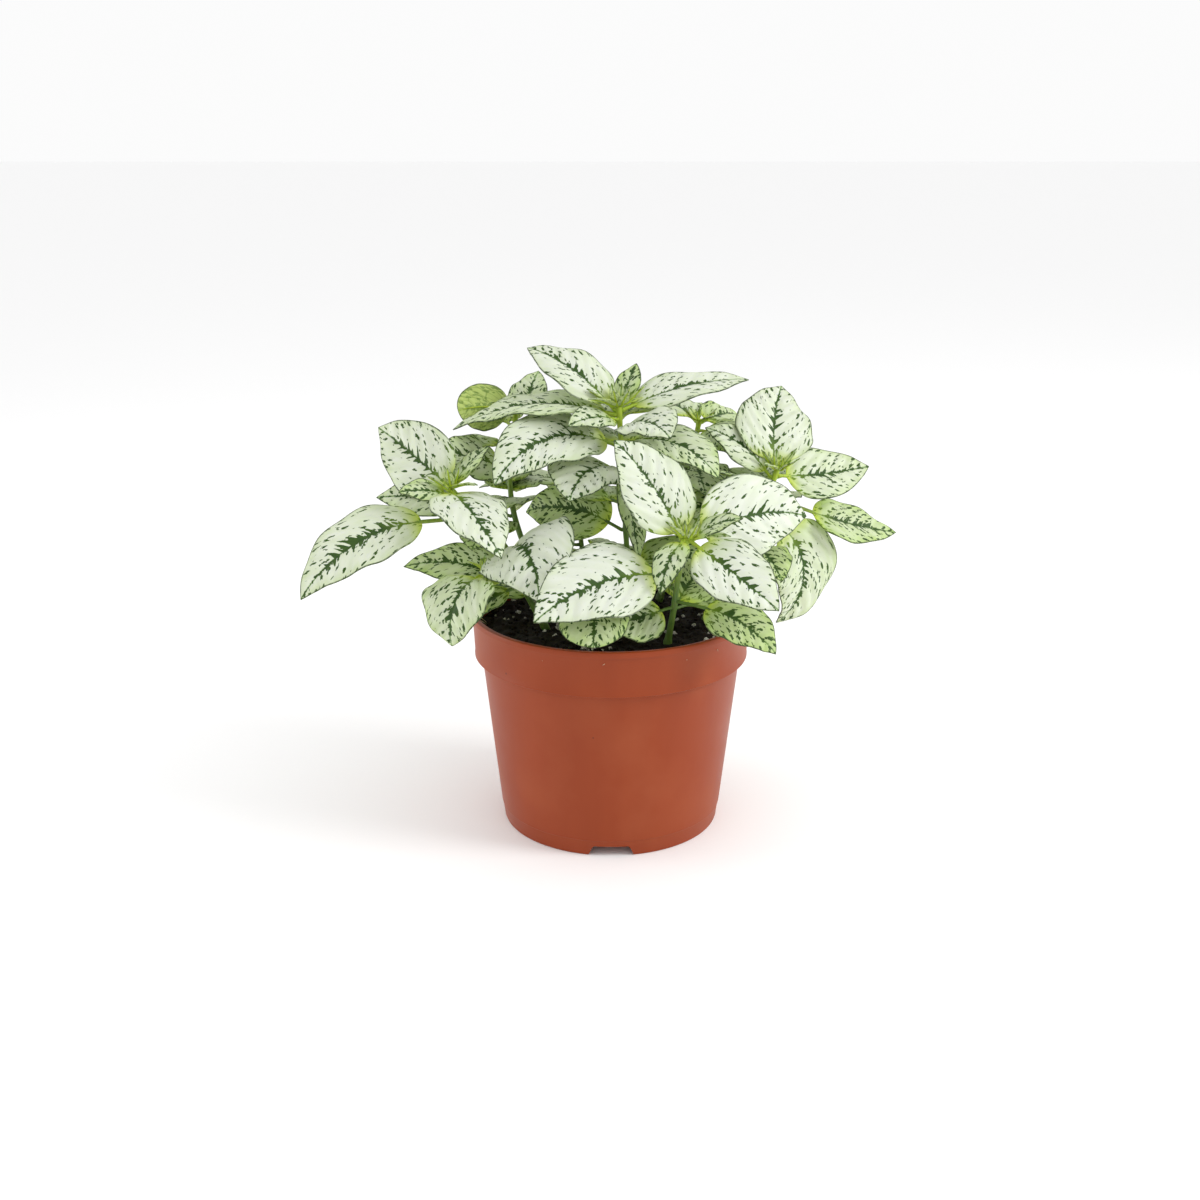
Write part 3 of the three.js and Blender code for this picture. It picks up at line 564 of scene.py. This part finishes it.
PLASTIC = moulded_polypropylene()
PEAT = damp_peat()
PERLITE = expanded_perlite()
STEM = soft_stem()
ROOT = dry_root()
LEAF_TOP = white_leaf()
LEAF_UNDER = pale_underside()
PAPER = studio_paper()

# ---- Modelling helpers ---------------------------------------------------------------------------


def only(*pieces):
    """Selects these pieces and nothing else, the first of them active."""
    bpy.ops.object.select_all(action="DESELECT")
    for piece in pieces:
        piece.select_set(True)
    bpy.context.view_layer.objects.active = pieces[0]


def edit(piece, select="DESELECT"):
    """Opens a piece in edit mode with all or nothing selected."""
    only(piece)
    bpy.ops.object.mode_set(mode="EDIT")
    bpy.ops.mesh.select_all(action=select)


def close_edit():
    bpy.ops.object.mode_set(mode="OBJECT")


def tidy_mesh(piece, gap):
    """Closes seams and poles, then turns every face outwards."""
    edit(piece, "SELECT")
    bpy.ops.mesh.remove_doubles(threshold=gap)
    bpy.ops.mesh.normals_make_consistent(inside=False)
    close_edit()


def finish_piece(piece, name, node):
    """Settles a piece at the origin, names it, hangs it under the root body and hides the part of
    model.glb that it takes the place of.
    """
    only(piece)
    bpy.ops.object.transform_apply(location=True, rotation=True, scale=True)
    piece.name = name
    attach(piece, "root")
    if node:
        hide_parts(node)


def join(pieces):
    only(*pieces)
    bpy.ops.object.join()
    return pieces[0]


def cover(piece, finish):
    piece.data.materials.clear()
    piece.data.materials.append(finish)


def draw_twig(name, path, radii, finish, youth=0.0):
    """A round twig along a path, its ends closed, as a mesh. Youth is a number, or a function that
    gives one for each height."""
    curve = bpy.data.curves.new(name, "CURVE")
    curve.dimensions = "3D"
    curve.bevel_depth = 1.0
    curve.bevel_resolution = 2
    curve.use_fill_caps = True
    spline = curve.splines.new("POLY")
    spline.points.add(len(path) - 1)
    for point, place, radius in zip(spline.points, path, radii):
        point.co = (*place, 1)
        point.radius = radius
    twig = bpy.data.objects.new(name, curve)
    bpy.context.scene.collection.objects.link(twig)
    only(twig)
    bpy.ops.object.convert(target="MESH")
    bpy.ops.object.shade_smooth()
    twig = bpy.context.view_layer.objects.active
    cover(twig, finish)
    tidy_mesh(twig, 0.01 * MM)
    ages = [youth(corner.co.z / MM) if callable(youth) else youth for corner in twig.data.vertices]
    twig.data.attributes.new("youth", "FLOAT", "POINT").data.foreach_set("value", ages)
    return twig


def smooth(low, high, value):
    """Goes without a kink from 0 at low to 1 at high, and stays there beyond."""
    share = max(0.0, min(1.0, (value - low) / (high - low)))
    return share * share * (3 - 2 * share)


# ---- Pot -----------------------------------------------------------------------------------------


def wall_radius(z):
    return BASE_RADIUS + (BODY_TOP_RADIUS - BASE_RADIUS) * z / BAND_FLOOR


def spin_profile(name, profile, steps):
    """Draws a profile edge by edge from a single point, then spins it round the Z axis."""
    bpy.ops.mesh.primitive_plane_add(size=MM)
    piece = bpy.context.object
    piece.name = name
    edit(piece, "SELECT")
    bpy.ops.mesh.merge(type="CENTER")
    here = Vector((0, 0, 0))
    for i, (radius, height) in enumerate(profile):
        step = Vector((radius * MM, 0, height * MM)) - here
        if i == 0:
            bpy.ops.transform.translate(value=step)
        else:
            bpy.ops.mesh.extrude_region_move(TRANSFORM_OT_translate={"value": step})
        here += step
    bpy.ops.mesh.select_all(action="SELECT")
    bpy.ops.mesh.spin(steps=steps, angle=2 * math.pi, center=(0, 0, 0), axis=(0, 0, 1))
    close_edit()
    tidy_mesh(piece, 0.02 * MM)
    return piece


def cut_away(piece, cutter):
    """Cuts one solid out of another and removes the cutter."""
    cut = piece.modifiers.new("cut", "BOOLEAN")
    cut.operation = "DIFFERENCE"
    cut.solver = "EXACT"
    cut.object = cutter
    only(piece)
    bpy.ops.object.modifier_apply(modifier="cut")
    bpy.data.objects.remove(cutter)


def make_pot():
    plate_top = FOOT_HEIGHT + WALL
    foot = BASE_RADIUS - FOOT_WIDTH
    ring = wall_radius(RING_LINE_HEIGHT)
    outside = [
        (0, FOOT_HEIGHT), (foot - 0.4, FOOT_HEIGHT), (foot, FOOT_HEIGHT - 0.4), (foot, 0.25),
        (foot + 0.25, 0), (BASE_RADIUS - 0.7, 0), (BASE_RADIUS - 0.2, 0.2), (BASE_RADIUS, 0.8),
        (ring - 0.05, RING_LINE_HEIGHT - 0.3), (ring + 0.1, RING_LINE_HEIGHT),
        (ring + RING_LINE_STEP, RING_LINE_HEIGHT + 0.2),
        (ring + RING_LINE_STEP + 0.05, RING_LINE_HEIGHT + 0.5),
        (wall_radius(40) + RING_LINE_STEP, 40),
        (wall_radius(BAND_FLOOR - 1.6) + RING_LINE_STEP, BAND_FLOOR - 1.6),
        (wall_radius(BAND_FLOOR - 1) + RING_LINE_STEP + 0.25, BAND_FLOOR - 0.7),
        (BAND_FLOOR_RADIUS - 0.3, BAND_FLOOR), (BAND_FLOOR_RADIUS + 0.1, BAND_FLOOR + 0.25),
        (BAND_FLOOR_RADIUS + 0.12, BAND_FLOOR + 0.7), (BAND_FLOOR_RADIUS - 0.08, BAND_FLOOR + 1.2),
        (BAND_TOP_RADIUS - 0.1, POT_HEIGHT - 2.9), (BAND_TOP_RADIUS + 0.1, POT_HEIGHT - 2.6),
        (RIM_RADIUS - 0.15, POT_HEIGHT - 2.5), (RIM_RADIUS, POT_HEIGHT - 2.2),
        (RIM_RADIUS, POT_HEIGHT - 0.6), (RIM_RADIUS - 0.2, POT_HEIGHT - 0.18),
        (RIM_RADIUS - 0.6, POT_HEIGHT),
    ]
    lip = BAND_TOP_RADIUS - WALL
    inside = [
        (lip + 0.2, POT_HEIGHT), (lip - 0.2, POT_HEIGHT - 0.2), (lip - 0.4, POT_HEIGHT - 1),
        (BAND_FLOOR_RADIUS - WALL, BAND_FLOOR + 2.4), (wall_radius(BAND_FLOOR) - WALL, BAND_FLOOR - 1),
        (wall_radius(plate_top + 1) - WALL, plate_top + 1),
        (wall_radius(plate_top) - WALL - 1, plate_top), (0, plate_top),
    ]
    pot = spin_profile("pot_shell", outside + inside, POT_STEPS)

    # Three openings through the foot ring let water out; the one at the front shows. Each is cut by
    # a wedge whose two upper edges are rounded.
    for heading in NOTCH_HEADINGS:
        bpy.ops.mesh.primitive_cube_add(size=1)
        wedge = bpy.context.object
        wedge.data.transform(Matrix.Diagonal((2 * MM, NOTCH_DEPTH * MM, NOTCH_HEIGHT * MM, 1)))
        for corner in wedge.data.vertices:
            corner.co.x *= NOTCH_TOP if corner.co.z > 0 else NOTCH_FOOT
            corner.co.z += (FOOT_HEIGHT - 0.02 - NOTCH_HEIGHT / 2) * MM
            corner.co.y -= BASE_RADIUS * MM
        edit(wedge)
        close_edit()
        for edge in wedge.data.edges:
            a, b = (wedge.data.vertices[i].co for i in edge.vertices)
            edge.select = min(a.z, b.z) > 2 * MM and abs(a.y - b.y) > NOTCH_DEPTH / 2 * MM
        bpy.ops.object.mode_set(mode="EDIT")
        bpy.ops.mesh.bevel(offset=NOTCH_CORNER * MM, segments=3, affect="EDGES")
        close_edit()
        wedge.data.transform(Matrix.Rotation(math.radians(heading + 90), 4, "Z"))
        cut_away(pot, wedge)
    for i in range(DRAINS):
        turn = math.radians((i + 0.5) * 360 / DRAINS)
        out = Vector((math.cos(turn), math.sin(turn), 0)) * DRAIN_CIRCLE
        bpy.ops.mesh.primitive_cylinder_add(
            vertices=32, radius=DRAIN_RADIUS * MM, depth=6 * MM,
            location=(out.x * MM, out.y * MM, (FOOT_HEIGHT + WALL / 2) * MM),
        )
        cut_away(pot, bpy.context.object)
    cover(pot, PLASTIC)
    only(pot)
    bpy.ops.object.shade_smooth_by_angle(angle=math.radians(32))
    finish_piece(pot, "pot_moulding", "pot")


# ---- Soil ----------------------------------------------------------------------------------------


def soil_height(x, y):
    """The height of the peat's crumbly top at a place, all in millimetres."""
    place = Vector((x, y, 3.0))
    lumps = sum(high * noise.noise(place / wide) for wide, high in ((9, 1.4), (3.5, 0.9), (1.3, 0.6)))
    drop = 1.5 * smooth(44, SOIL_RADIUS, math.hypot(x, y))
    return SOIL_TOP - 0.6 + lumps - drop


def make_soil():
    foot = FOOT_HEIGHT + WALL + 0.3
    profile = [(0, foot), (SOIL_FOOT_RADIUS, foot), (SOIL_BODY_RADIUS, BAND_FLOOR - 1),
               (SOIL_RADIUS - 0.3, BAND_FLOOR + 3), (SOIL_RADIUS, SOIL_TOP - 3)]
    profile += [(SOIL_RADIUS * (1 - i / SOIL_RINGS), SOIL_TOP) for i in range(SOIL_RINGS + 1)]
    soil = spin_profile("soil_top", profile, SOIL_STEPS)
    for corner in soil.data.vertices:
        if corner.co.z > (SOIL_TOP - 0.1) * MM:
            corner.co.z = soil_height(corner.co.x / MM, corner.co.y / MM) * MM
    cover(soil, PEAT)
    only(soil)
    bpy.ops.object.shade_smooth()
    finish_piece(soil, "peat_plug", "soil")


def scatter(name, grain, spots, finish):
    """Copies a grain to each spot (x, y, size in millimetres), turned at random, as one piece."""
    lot = random.Random(name)
    grains = []
    for x, y, size in spots:
        copy = grain.copy()
        copy.data = grain.data.copy()
        bpy.context.scene.collection.objects.link(copy)
        turn = Matrix.Rotation(lot.uniform(0, 6.28), 4, "Z")
        turn @= Matrix.Rotation(lot.uniform(0, 3.14), 4, "X")
        stretch = Matrix.Diagonal((size, size * lot.uniform(0.65, 1), size * lot.uniform(0.5, 0.9), 1))
        place = Matrix.Translation((x * MM, y * MM, (soil_height(x, y) + 0.12 * size) * MM))
        copy.data.transform(place @ turn @ stretch)
        grains.append(copy)
    bpy.data.objects.remove(grain)
    piece = join(grains)
    cover(piece, finish)
    finish_piece(piece, name, None)


def rough_grain(divisions, roughness, seed):
    """A rough ball of 1 mm, pushed in and out corner by corner."""
    bpy.ops.mesh.primitive_ico_sphere_add(subdivisions=divisions, radius=0.5 * MM)
    grain = bpy.context.object
    for corner in grain.data.vertices:
        corner.co *= 1 + roughness * noise.noise(corner.co / MM * 2.3 + Vector((seed, 0, 0)))
    return grain


def random_spots(lot, count, inner, outer, small, big):
    """Places spread evenly over a ring of the soil, each with a size."""
    spots = []
    for _ in range(count):
        turn, far = lot.uniform(0, 2 * math.pi), math.sqrt(lot.uniform(inner**2, outer**2))
        spots.append((far * math.cos(turn), far * math.sin(turn), lot.uniform(small, big)))
    return spots


def make_soil_surface():
    lot = random.Random("soil")
    crumbs = random_spots(lot, 620, 4, 55, 0.9, 2.6)
    scatter("peat_crumbs", rough_grain(1, 0.9, 4), crumbs, PEAT)
    # The perlite grains that show at the front rim are placed one by one.
    seen = [(-33, -34, 2.9), (-41, -27, 2.2), (-38.5, -36.5, 1.8), (36, -38, 2.4), (44, -30, 2.0),
            (-14, -52, 1.7), (-27, -46, 2.0), (24, -49, 1.9), (33, -43, 1.6), (13, -53, 1.5)]
    grains = seen + random_spots(lot, 90, 6, 54, 1.0, 2.6)
    scatter("perlite_grains", rough_grain(2, 0.8, 9), grains, PERLITE)
    roots = []
    for i in range(16):
        turn = math.radians(FRONT_ROOTS[i] if i < len(FRONT_ROOTS) else lot.uniform(0, 360))
        out = Vector((math.cos(turn), math.sin(turn), 0))
        start = out * lot.uniform(53, 55.5)
        start.z = soil_height(start.x, start.y)
        aside = Vector((-out.y, out.x, 0)) * lot.uniform(-1.2, 1.2)
        path = []
        for k in range(6):
            bend = aside * math.sin(k * 0.7) + Vector((0, 0, 2.4 * math.sin(k * 0.42)))
            path.append((start + out * (k * 0.9) + bend) * MM)
        roots.append(draw_twig("root", path, [0.16 * MM] * 4 + [0.12 * MM, 0.06 * MM], ROOT))
    finish_piece(join(roots), "dry_roots", None)


# ---- Stems and leaves ----------------------------------------------------------------------------


class Shoot:
    """The smooth line of a shoot through its points, by shares of the way up."""

    def __init__(self, points):
        points = [Vector(point) for point in points]
        points[0].z += STEM_CLEARANCE
        self.points = [2 * points[0] - points[1], *points, 2 * points[-1] - points[-2]]

    def place(self, share):
        spans = len(self.points) - 3
        i = min(int(share * spans), spans - 1)
        t = share * spans - i
        a, b, c, d = self.points[i : i + 4]
        into, out, gap = (c - a) / 2, (d - b) / 2, c - b
        return b + t * into + t**2 * (3 * gap - 2 * into - out) + t**3 * (into + out - 2 * gap)

    def direction(self, share):
        low, high = max(0, share - 0.0001), min(1, share + 0.0001)
        return (self.place(high) - self.place(low)).normalized()


# How finely stems, midribs and blades are drawn.
STEM_STEPS, MIDRIB_STEPS = 44, 240
BLADE_ROWS, BLADE_COLUMNS = 60, 26
YOUNG_AGE, BUD_AGE = 0.75, 0.16  # how much of a grown leaf's pattern the young have come to


def pointing(heading, rise):
    flat = math.cos(rise)
    return Vector((flat * math.cos(heading), flat * math.sin(heading), math.sin(rise)))


def make_stem(name, shoot, joints):
    """A stem that starts some 4 mm down in the soil, thins as it rises and swells at its leaves."""
    path, radii = [shoot.place(0) - shoot.direction(0) * 5], [1.5 * MM]
    for i in range(STEM_STEPS + 1):
        share = i / STEM_STEPS
        swelling = sum(0.22 * math.exp(-(((share - joint) / 0.03) ** 2)) for joint in joints)
        path.append(shoot.place(share))
        radii.append((1.4 - 0.5 * share + min(0.45, swelling) + 0.5 * math.exp(-share * 30)) * MM)
    top = shoot.place(1).z
    stem = draw_twig("stem", [place * MM for place in path], radii, STEM,
                     lambda z: smooth(SOIL_TOP + 0.45 * (top - SOIL_TOP), top, z))
    finish_piece(stem, "green_stem_" + name, "stem_" + name)


class Blade:
    """The midrib of a leaf as a list of points, and its upper surface."""

    def __init__(self, name, leaf, shoot):
        self.leaf = leaf
        self.lot = random.Random(name)
        self.heading, self.rise = math.radians(leaf.heading), math.radians(leaf.rise)
        out = pointing(self.heading, self.rise)
        along = shoot.direction(leaf.at)
        out = (out - along * out.dot(along)).normalized() * STALK_START
        self.axis = shoot.place(leaf.at)
        self.start = self.axis + out
        foot = self.start + self.turned(0)[0] * leaf.stalk
        self.stations = [foot]
        for i in range(MIDRIB_STEPS):
            ahead = self.turned((i + 0.5) / MIDRIB_STEPS)[0]
            self.stations.append(self.stations[-1] + ahead * leaf.length / MIDRIB_STEPS)
        self.pitch = leaf.length / self.lot.uniform(*SIDE_VEINS)
        self.phase = self.lot.uniform(0, 6.28)
        self.waves = self.lot.uniform(0.7, 1.3)

    def turned(self, s):
        """The blade's forward direction, side and upper normal at a share of its length."""
        h = self.heading + math.radians(self.leaf.swing) * s
        r = self.rise - math.radians(self.leaf.droop) * s
        forward = pointing(h, r)
        level = Vector((math.sin(h), -math.cos(h), 0))
        up = level.cross(forward)
        roll = math.radians(self.leaf.roll)
        side = level * math.cos(roll) + up * math.sin(roll)
        return forward, side, up * math.cos(roll) - level * math.sin(roll)

    def middle(self, s):
        exact = s * (len(self.stations) - 1)
        i = min(int(exact), len(self.stations) - 2)
        return self.stations[i].lerp(self.stations[i + 1], exact - i)

    def half_width(self, s):
        grow, shrink = self.leaf.outline
        widest = grow / (grow + shrink)
        share = (s / widest) ** grow * (max(0.0, 1 - s) / (1 - widest)) ** shrink
        return share * self.leaf.width / 2

    def vein_foot(self, s, out):
        """Where on the midrib the side vein through a place starts; veins bend towards the tip."""
        out = abs(out)
        return s * self.leaf.length - 0.55 * out - 0.045 * out * out

    def surface(self, s, across):
        """A point of the upper surface. The blade is puffed up between its side veins, which lie in
        furrows, and its margin waves."""
        _, side, normal = self.turned(s)
        half = self.half_width(s)
        out = across * half
        furrow = abs(math.sin(math.pi * self.vein_foot(s, out) / self.pitch)) ** 0.7
        size = self.leaf.width / 32
        puff = 0.85 * size * (furrow - 0.62)
        puff *= smooth(0.02, 0.25, abs(across)) * smooth(1.05, 0.7, abs(across))
        puff *= smooth(0, 0.12, s) * smooth(1.0, 0.85, s)
        rib = -0.45 * size * math.exp(-((out / 1.3) ** 2)) * smooth(1.0, 0.6, s)
        wave = math.sin(2 * math.pi * s * 2.6 * self.waves + self.phase + (1.3 if across > 0 else 0))
        ripple = 0.9 * size * wave * abs(across) ** 3 * smooth(0, 0.2, s) * smooth(1.0, 0.8, s)
        lift = abs(out) * math.sin(LEAF_FOLD) - LEAF_CUP * half * across**2
        aside = side * out * math.cos(LEAF_FOLD)
        return self.middle(s) - aside + normal * (lift + puff + rib + ripple)


def shape_leaf(name, leaf, shoot, rows, columns, aged):
    """Lays a grid over the blade's surface, gives it a thickness, and adds its stalk and midrib. Aged
    is the share of a grown leaf's pattern, from the stalk, that a young one has come to."""
    blade = Blade(name, leaf, shoot)
    bpy.ops.mesh.primitive_grid_add(x_subdivisions=rows, y_subdivisions=columns, size=1)
    piece = bpy.context.object
    mesh = piece.data
    seed = blade.lot.uniform(0, 40)
    veins, natures, shares = [], [], []
    for corner in mesh.vertices:
        share, across = corner.co.x + 0.5, corner.co.y * 2
        # Rows crowd towards the rounded base and the tip.
        s = 0.4 * share + 0.6 * (1 - math.cos(math.pi * share)) / 2
        s = max(0.0, min(1.0, s))
        corner.co = blade.surface(s, across) * MM
        half = blade.half_width(s)
        veins += [blade.vein_foot(s, across * half), across * half, half * (1 - abs(across))]
        natures += [seed, leaf.green, leaf.band]
        shares.append(s * aged)
    mesh.attributes.new("vein_mm", "FLOAT_VECTOR", "POINT").data.foreach_set("vector", veins)
    mesh.attributes.new("nature", "FLOAT_VECTOR", "POINT").data.foreach_set("vector", natures)
    mesh.attributes.new("length_share", "FLOAT", "POINT").data.foreach_set("value", shares)
    mesh.materials.append(LEAF_TOP)
    mesh.materials.append(LEAF_UNDER)
    edit(piece, "SELECT")
    bpy.ops.mesh.remove_doubles(threshold=0.01 * MM)
    close_edit()
    middle = mesh.polygons[len(mesh.polygons) // 2]
    if middle.normal.dot(blade.turned(0.5)[2]) < 0:
        mesh.flip_normals()
    wall = piece.modifiers.new("wall", "SOLIDIFY")
    wall.thickness = BLADE_THICKNESS * MM
    wall.offset = -1
    wall.material_offset = 1
    only(piece)
    bpy.ops.object.modifier_apply(modifier="wall")
    bpy.ops.object.shade_smooth()
    path = [blade.axis.lerp(blade.start, 0.3), blade.start, blade.start.lerp(blade.middle(0), 0.5)]
    thick = 0.5 + 0.008 * leaf.length
    radii = [thick * 1.15, thick, thick * 0.9]
    for i in range(13):
        s = 0.88 * i / 12
        radii.append(thick * 0.8 * (1 - s) + 0.1)
        drop = BLADE_THICKNESS + 0.5 * leaf.width / 32 + radii[-1] * 0.6
        path.append(blade.middle(s) - blade.turned(s)[2] * drop * smooth(-0.04, 0.1, s))
    stalk = draw_twig("stalk", [p * MM for p in path], [r * MM for r in radii], STEM,
                      smooth(0.6, 1.0, leaf.at))
    return join([piece, stalk])


def make_tip(shoot_name, shoot, leaflets, longest):
    """The bud of a shoot: leaflets in opposite pairs round its end, the inner ones steeper."""
    lot = random.Random("tip_" + shoot_name)
    turn = lot.uniform(0, 360)
    made = []
    for i in range(leaflets):
        inner = i / max(1, leaflets - 1)
        length = longest * (1 - 0.62 * inner) * lot.uniform(0.9, 1.1)
        leaf = Leaf(0.992, turn + 180 * (i % 2) + 67 * (i // 2) + lot.uniform(-12, 12),
                    28 + 48 * inner + lot.uniform(-6, 6), length, length * lot.uniform(0.36, 0.46),
                    lot.uniform(-15, 15), 30 - 45 * inner, 0, 0.4, 0.2, 0.0)
        made.append(shape_leaf("leaflet", leaf, shoot, 22, 10, BUD_AGE))
    finish_piece(join(made), "tip_" + shoot_name, None)


def grow_leaf(name, row, shoot, node=None):
    young = "_young_" in name
    aged = YOUNG_AGE if young else 1
    grown = shape_leaf(name, Leaf(*row), shoot, BLADE_ROWS, BLADE_COLUMNS, aged)
    finish_piece(grown, "grown_" + name, node)


def make_plant():
    for shoot_name, points in SHOOTS.items():
        shoot = Shoot(points)
        leaves = LEAVES[shoot_name]
        make_stem(shoot_name, shoot, [Leaf(*row).at for row in leaves.values()])
        for name, row in leaves.items():
            grow_leaf(name, row, shoot, "leaf_" + name)
        for name, row in MORE_LEAVES.get(shoot_name, {}).items():
            grow_leaf(name, row, shoot)
        if shoot_name in TIPS:
            make_tip(shoot_name, shoot, *TIPS[shoot_name])


# ---- Scene ---------------------------------------------------------------------------------------


# Each lamp's place and width in metres, and its watts; all aim at one point in the plant.
LAMPS = (("window_light", (1.0, -0.3, 0.75), 0.5, 7.5), ("side_fill", (-0.9, 0.05, 0.22), 0.5, 2.2))
LIT_POINT = Vector((0, 0, 0.08))


def make_floor():
    bpy.ops.mesh.primitive_plane_add(size=30)
    floor = bpy.context.object
    floor.name = "paper_sweep"
    floor.data.materials.append(PAPER)


def make_light():
    world = bpy.data.worlds.new("white_room")
    world.use_nodes = True
    background = world.node_tree.nodes["Background"]
    background.inputs["Color"].default_value = (1, 1, 1, 1)
    background.inputs["Strength"].default_value = 0.97
    bpy.context.scene.world = world
    bpy.context.scene.view_settings.view_transform = "Standard"
    for name, place, size, power in LAMPS:
        lamp = bpy.data.lights.new(name, "AREA")
        lamp.shape = "DISK"
        lamp.size = size
        lamp.energy = power
        light = bpy.data.objects.new(name, lamp)
        light.location = place
        light.rotation_euler = (Vector(place) - LIT_POINT).to_track_quat("Z", "Y").to_euler()
        bpy.context.scene.collection.objects.link(light)


make_floor()
make_light()
make_pot()
make_soil()
make_soil_surface()
make_plant()
